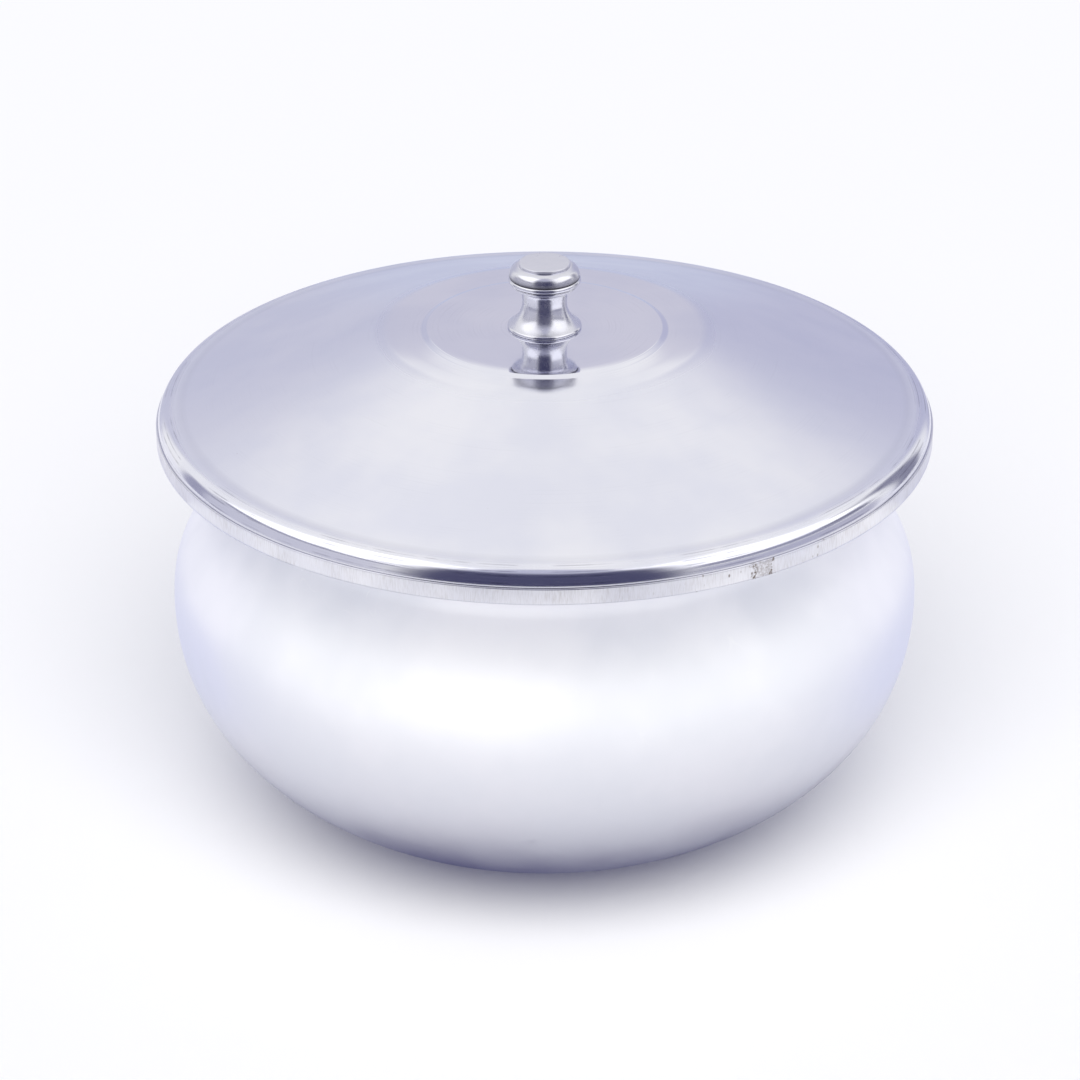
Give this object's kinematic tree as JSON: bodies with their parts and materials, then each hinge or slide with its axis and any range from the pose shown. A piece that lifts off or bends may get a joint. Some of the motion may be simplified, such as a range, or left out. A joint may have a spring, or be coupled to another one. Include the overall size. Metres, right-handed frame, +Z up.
{
  "type": "lidded serving pot",
  "caption": "Round-bellied polished steel serving pot with a narrow neck, a rolled lip and a lift-off conical lid held by a turned spool knob.",
  "frame": {"origin": "centre of the flat base, on the surface that the pot stands on", "axes": "+Z up along the pot's axis, X and Y level"},
  "size_m": [0.201, 0.201, 0.1502],
  "materials": {
    "bowl_steel": "spun and buffed to a soft, slightly hazy polish",
    "lid_steel": "pressed and buffed, with a brighter centre disc and rim",
    "knob_steel": "turned and mirror polished",
    "fastener_steel": "bright zinc plated"
  },
  "bodies": {
    "pot": {"bowl": "bowl_steel"},
    "lid": {"lid_shell": "lid_steel", "knob": "knob_steel", "knob_screw": "fastener_steel", "flat_washer": "fastener_steel", "lock_washer": "fastener_steel"}
  },
  "joints": [
    {"name": "lid_lift", "type": "slide", "parent": "pot", "child": "lid", "axis": [0, 0, 1], "range_m": [0, 0.1]}
  ]
}
